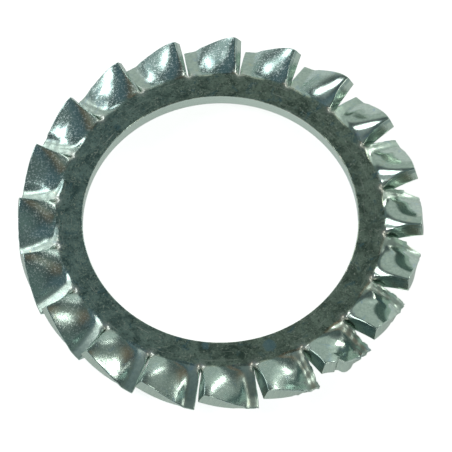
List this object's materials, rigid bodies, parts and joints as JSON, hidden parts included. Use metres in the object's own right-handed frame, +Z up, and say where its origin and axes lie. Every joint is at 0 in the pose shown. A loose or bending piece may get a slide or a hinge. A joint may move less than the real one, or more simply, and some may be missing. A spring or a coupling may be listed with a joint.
{
  "type": "toothed lock washer",
  "caption": "External toothed lock washer: a flat spring-steel ring whose rim is slit into overlapping teeth, each twisted so one edge stands up and the other dips.",
  "frame": {"origin": "on the bore axis, in the plane that the lowest tooth corners touch", "axes": "+Z up along the bore axis; seen from above every tooth stands up on its clockwise side; +X lies just clockwise of one tooth's mid-line"},
  "size_m": [0.0372, 0.0372, 0.0042],
  "materials": {
    "zinc_plated_spring_steel": "bright zinc plating with a clear blue passivation, lightly scratched, smeared and torn at a few tooth edges"
  },
  "bodies": {
    "root": {"lock_washer": "zinc_plated_spring_steel"}
  },
  "joints": []
}
